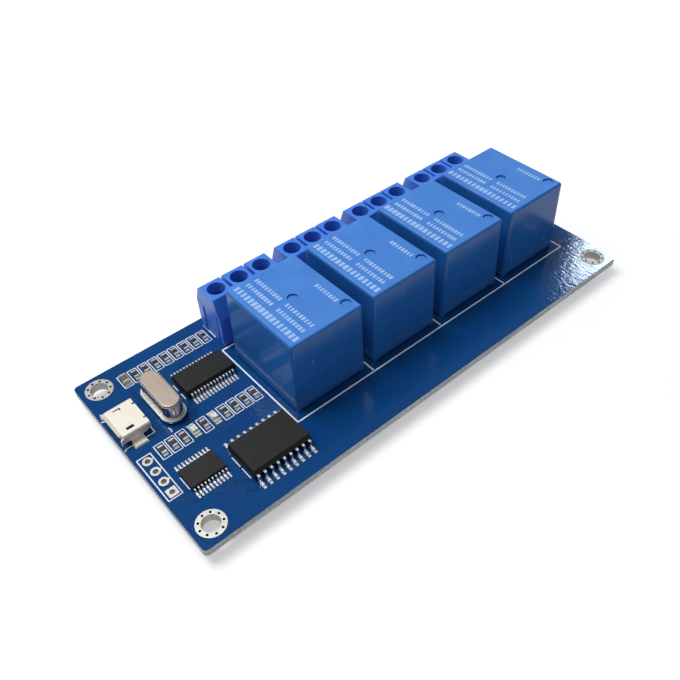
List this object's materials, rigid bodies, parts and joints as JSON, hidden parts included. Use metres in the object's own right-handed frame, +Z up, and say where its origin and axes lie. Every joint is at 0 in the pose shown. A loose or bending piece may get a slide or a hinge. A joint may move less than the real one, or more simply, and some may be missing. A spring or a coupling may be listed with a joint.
{
  "type": "relay module board",
  "caption": "Blue circuit board with a row of sealed relays, a row of screw terminals behind them and a small USB socket at one end; it switches loads on command.",
  "frame": {"origin": "centre of the board in plan, on the plane that the trimmed pins under the board stand on", "axes": "+X along the board from the USB end to the bare end, +Y across the board towards the screw terminals, +Z up out of the component side"},
  "size_m": [0.1, 0.0426, 0.0191],
  "materials": {
    "solder_mask": "glossy blue lacquer over glass-fibre laminate",
    "board_print": "matte white printed lines on the board",
    "tinned_copper": "tin-plated copper, slightly uneven",
    "solder": "bright solder",
    "tinned_wire": "tinned copper wire",
    "socket_steel": "nickel-plated folded sheet steel",
    "socket_insulator": "black moulded plastic",
    "gold_contacts": "gold-flashed copper alloy",
    "crystal_metal": "drawn nickel-plated steel, soft sheen",
    "crystal_header": "nickel-plated steel",
    "chip_epoxy": "dull black moulded epoxy",
    "chip_leads": "matte tin plate",
    "resistor_coat": "dark glass coat",
    "capacitor_ceramic": "tan ceramic",
    "end_caps": "tin plate",
    "lamp_base": "white moulded base",
    "lamp_lens": "clear cast resin",
    "relay_blue": "glossy blue moulded plastic, satin on top",
    "relay_base_plate": "dark blue moulded plastic",
    "terminal_blue": "satin bright blue moulded plastic",
    "clamp_steel": "zinc-plated steel",
    "screw_steel": "zinc-plated steel"
  },
  "bodies": {
    "root": {"circuit_board": "solder_mask", "mounting_lands": "tinned_copper", "header_pads": "tinned_copper", "usb_shell": "socket_steel", "usb_tongue": "socket_insulator", "usb_contacts": "gold_contacts", "usb_solder_pads": "solder", "crystal_can": "crystal_metal", "crystal_base": "crystal_header", "crystal_leads": "tinned_wire", "interface_chip_body": "chip_epoxy", "interface_chip_leads": "chip_leads", "controller_chip_body": "chip_epoxy", "controller_chip_leads": "chip_leads", "driver_chip_body": "chip_epoxy", "driver_chip_leads": "chip_leads", "ic_solder_pads": "solder", "resistor_bodies": "resistor_coat", "capacitor_body": "capacitor_ceramic", "chip_end_caps": "end_caps", "led_bases": "lamp_base", "led_lenses": "lamp_lens", "chip_solder_lands": "solder", "relay_solder_joints": "solder", "terminal_solder_joints": "solder", "crystal_solder_joints": "solder", "relay_1_case": "relay_blue", "relay_1_base": "relay_base_plate", "relay_1_pins": "tinned_wire", "terminal_1_housing": "terminal_blue", "terminal_1_clamps": "clamp_steel", "terminal_1_screws": "screw_steel", "terminal_1_pins": "tinned_wire", "relay_2_case": "relay_blue", "relay_2_base": "relay_base_plate", "relay_2_pins": "tinned_wire", "terminal_2_housing": "terminal_blue", "terminal_2_clamps": "clamp_steel", "terminal_2_screws": "screw_steel", "terminal_2_pins": "tinned_wire", "relay_3_case": "relay_blue", "relay_3_base": "relay_base_plate", "relay_3_pins": "tinned_wire", "terminal_3_housing": "terminal_blue", "terminal_3_clamps": "clamp_steel", "terminal_3_screws": "screw_steel", "terminal_3_pins": "tinned_wire", "relay_4_case": "relay_blue", "relay_4_base": "relay_base_plate", "relay_4_pins": "tinned_wire", "terminal_4_housing": "terminal_blue", "terminal_4_clamps": "clamp_steel", "terminal_4_screws": "screw_steel", "terminal_4_pins": "tinned_wire"}
  },
  "joints": []
}
